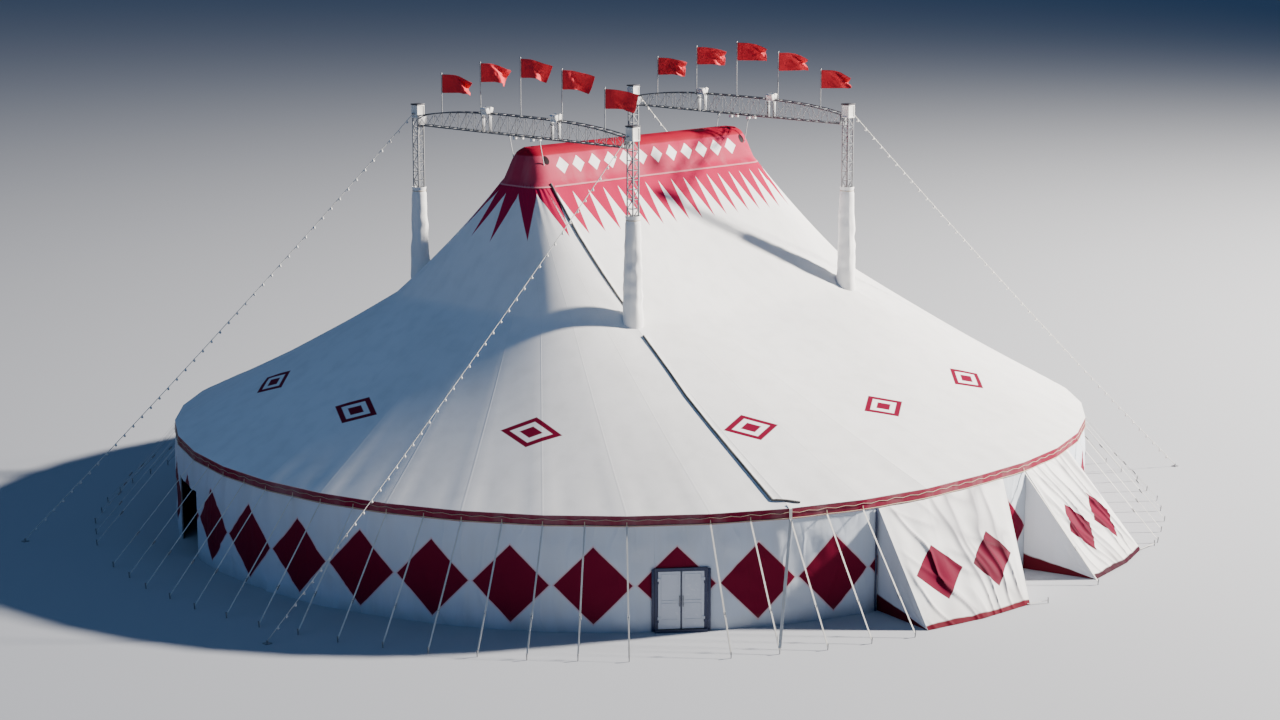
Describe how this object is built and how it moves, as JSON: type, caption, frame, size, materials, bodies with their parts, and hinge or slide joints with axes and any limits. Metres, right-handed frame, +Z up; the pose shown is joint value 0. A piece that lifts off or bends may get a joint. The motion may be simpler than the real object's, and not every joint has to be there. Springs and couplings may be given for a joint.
{
  "type": "circus big top tent, scale model at 1:2",
  "caption": "Scale model at 1:2 of a white oval circus big top with a red cupola, lattice masts, flagged gantries, side guys, porches and a double door.",
  "frame": {"origin": "on the ground, in the middle of the tent's oval plan", "axes": "+X along the longer axis through both gantries, +Y towards the back, +Z up; the door and the porches are at the front, on -Y"},
  "size_m": [23.12, 21.33, 9.455],
  "materials": {
    "white_cloth": "white coated tent cloth, smooth, half matt",
    "red_cloth": "dark red coated tent cloth",
    "flag_cloth": "thin bright red cloth",
    "galvanised_steel": "dull galvanised steel",
    "navy_paint": "dark navy paint, half gloss",
    "white_paint": "cold white paint, half gloss",
    "webbing": "pale woven webbing and rope"
  },
  "bodies": {
    "tent": {"mast_front_left": "galvanised_steel", "mast_sleeve_front_left": "white_cloth", "main_stay_front_left": "webbing", "mast_front_right": "galvanised_steel", "mast_sleeve_front_right": "white_cloth", "main_stay_front_right": "webbing", "mast_back_right": "galvanised_steel", "mast_sleeve_back_right": "white_cloth", "main_stay_back_right": "webbing", "mast_back_left": "galvanised_steel", "mast_sleeve_back_left": "white_cloth", "main_stay_back_left": "webbing", "gantry_truss_left": "galvanised_steel", "flag_left_1": "flag_cloth", "flag_left_2": "flag_cloth", "flag_left_3": "flag_cloth", "flag_left_4": "flag_cloth", "flag_left_5": "flag_cloth", "gantry_truss_right": "galvanised_steel", "flag_right_1": "flag_cloth", "flag_right_2": "flag_cloth", "flag_right_3": "flag_cloth", "flag_right_4": "flag_cloth", "flag_right_5": "flag_cloth", "canopy_front_left": "white_cloth", "canopy_front_right": "white_cloth", "canopy_right": "white_cloth", "canopy_back_right": "white_cloth", "canopy_back_left": "white_cloth", "canopy_left": "white_cloth", "cupola_frame": "galvanised_steel", "cupola_cap": "red_cloth", "eave_band_front": "red_cloth", "eave_band_right": "red_cloth", "eave_band_back": "red_cloth", "eave_band_left": "red_cloth", "wall_front_left": "white_cloth", "wall_over_door": "white_cloth", "wall_front": "white_cloth", "wall_between_porches": "white_cloth", "wall_right": "white_cloth", "wall_back_right": "white_cloth", "wall_back": "white_cloth", "wall_back_left": "white_cloth", "wall_over_entrance": "white_cloth", "wall_left": "white_cloth", "side_poles_front": "galvanised_steel", "side_poles_back": "galvanised_steel", "side_guys_front_left": "webbing", "side_guys_front_right": "webbing", "side_guys_back_right": "webbing", "side_guys_back_left": "webbing", "porch_left": "white_cloth", "porch_right": "white_cloth", "door_frame": "navy_paint"},
    "door_left": {"door_leaf_left": "white_paint"},
    "door_right": {"door_leaf_right": "white_paint"}
  },
  "joints": [
    {"name": "door_left_hinge", "type": "hinge", "parent": "tent", "child": "door_left", "pos_m": [-6.2873, -6.9108, 0.6], "axis": [0, 0, -1], "range_deg": [0, 100]},
    {"name": "door_right_hinge", "type": "hinge", "parent": "tent", "child": "door_right", "pos_m": [-5.6525, -7.4202, 0.6], "axis": [0, 0, 1], "range_deg": [0, 100]}
  ]
}
